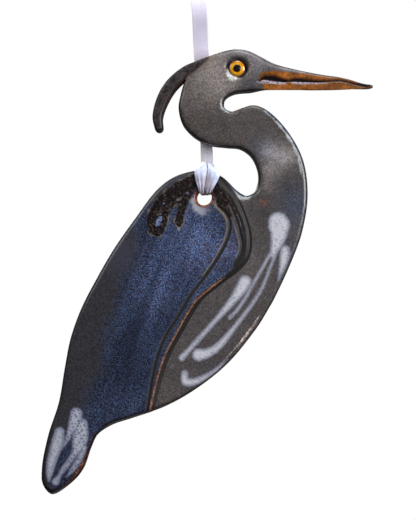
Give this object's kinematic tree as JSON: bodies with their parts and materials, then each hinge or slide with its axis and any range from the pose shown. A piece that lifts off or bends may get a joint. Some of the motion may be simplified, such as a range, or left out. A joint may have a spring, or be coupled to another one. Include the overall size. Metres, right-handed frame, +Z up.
{
  "type": "ceramic great blue heron hanging ornament",
  "caption": "Flat glazed stoneware ornament in the outline of a standing great blue heron, with a raised wing, swept crest and bead eye, hung on a looped satin ribbon.",
  "frame": {"origin": "where a hook or twig carries the ribbon loop, just under its knot", "axes": "+Z up along the ribbon, +X towards the bill, -Y out of the glazed face with the eye; the unglazed back faces +Y"},
  "size_m": [0.0666, 0.0083, 0.1128],
  "materials": {
    "glaze_slate": "satin slate-grey glaze over stoneware, warmer on the neck, toasted bare clay behind",
    "glaze_blue": "speckled satin blue glaze with brown-black lines",
    "glaze_crest": "dark umber glaze",
    "glaze_amber": "translucent amber-orange glaze, brown in the mouth line",
    "eye_yellow": "glossy yellow glaze ring",
    "eye_black": "glossy black glaze bead",
    "ribbon_satin": "pale lavender satin ribbon, single faced"
  },
  "bodies": {
    "root": {"heron_slab": "glaze_slate", "wing": "glaze_blue", "crest": "glaze_crest", "bill": "glaze_amber", "eye_iris": "eye_yellow", "eye_pupil": "eye_black", "ribbon_hitch": "ribbon_satin", "ribbon_strand_front": "ribbon_satin", "ribbon_strand_back": "ribbon_satin", "ribbon_knot": "ribbon_satin", "ribbon_end_left": "ribbon_satin", "ribbon_end_right": "ribbon_satin"}
  },
  "joints": []
}
